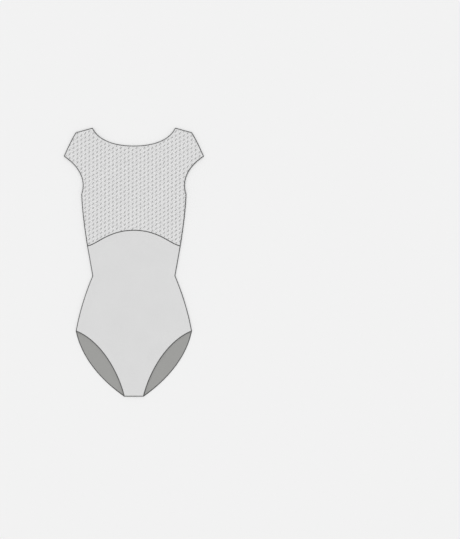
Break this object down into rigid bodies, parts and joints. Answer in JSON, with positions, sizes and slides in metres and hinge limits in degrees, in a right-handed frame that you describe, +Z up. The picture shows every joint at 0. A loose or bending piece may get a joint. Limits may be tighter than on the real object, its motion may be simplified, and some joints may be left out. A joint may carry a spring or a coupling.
{
  "type": "ballet leotard",
  "caption": "Leotard with cut-on cap sleeves, net yoke and deep scooped back, laid flat with its front up; a rigid piece of cloth that rests on any flat surface.",
  "frame": {"origin": "on the supporting surface, under the middle of the laid garment", "axes": "+X across the garment, to the right as seen from above with the shoulders away; +Y from the crotch to the shoulders; +Z up out of the surface"},
  "size_m": [0.3476, 0.6697, 0.0051],
  "materials": {
    "body_jersey": "matt fine knit jersey with a soft sheen, its inside a darker grey",
    "lining_jersey": "matt fine knit jersey, pale under the net",
    "front_net": "fine net with small slanting woven dashes in grey, over a lining",
    "back_net": "fine sheer net with small slanting woven dashes in grey",
    "sewing_thread": "dark grey overlock thread"
  },
  "bodies": {
    "root": {"back_body": "body_jersey", "back_yoke_net": "back_net", "front_body": "body_jersey", "front_yoke_lining": "lining_jersey", "front_yoke_net": "front_net"}
  },
  "joints": []
}
